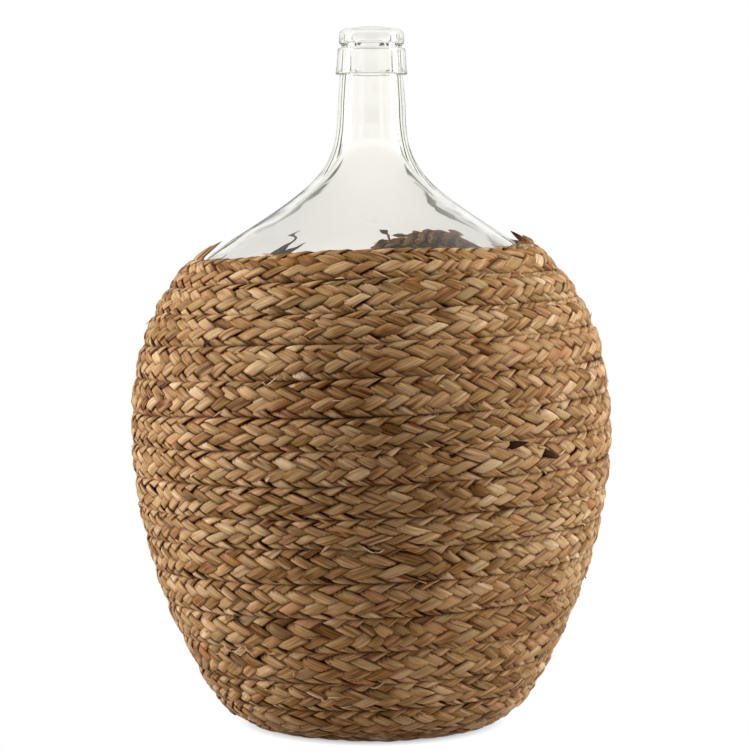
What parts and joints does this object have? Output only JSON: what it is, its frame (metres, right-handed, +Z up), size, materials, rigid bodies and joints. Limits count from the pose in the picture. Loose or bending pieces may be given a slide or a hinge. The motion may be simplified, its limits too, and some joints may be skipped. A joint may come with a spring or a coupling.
{
  "type": "covered glass vase",
  "caption": "Large round clear-glass demijohn vase with a narrow collared neck, in a cover of flat seagrass plait wound and sewn in a spiral.",
  "frame": {"origin": "on the vase's axis, on the surface that it stands on", "axes": "+Z up along the axis, out of the mouth; the front looks along -Y, and the plait ends at the back, on +Y"},
  "size_m": [0.3761, 0.3762, 0.54],
  "materials": {
    "glass": "clear polished glass with a faint grey-green cast",
    "plait": "dry plaited seagrass, matt to slightly waxy",
    "thread": "pale twisted sewing thread"
  },
  "bodies": {
    "root": {"glass_bottle": "glass", "base_coil": "plait", "wall_winding": "plait", "sewing_thread": "thread"}
  },
  "joints": []
}
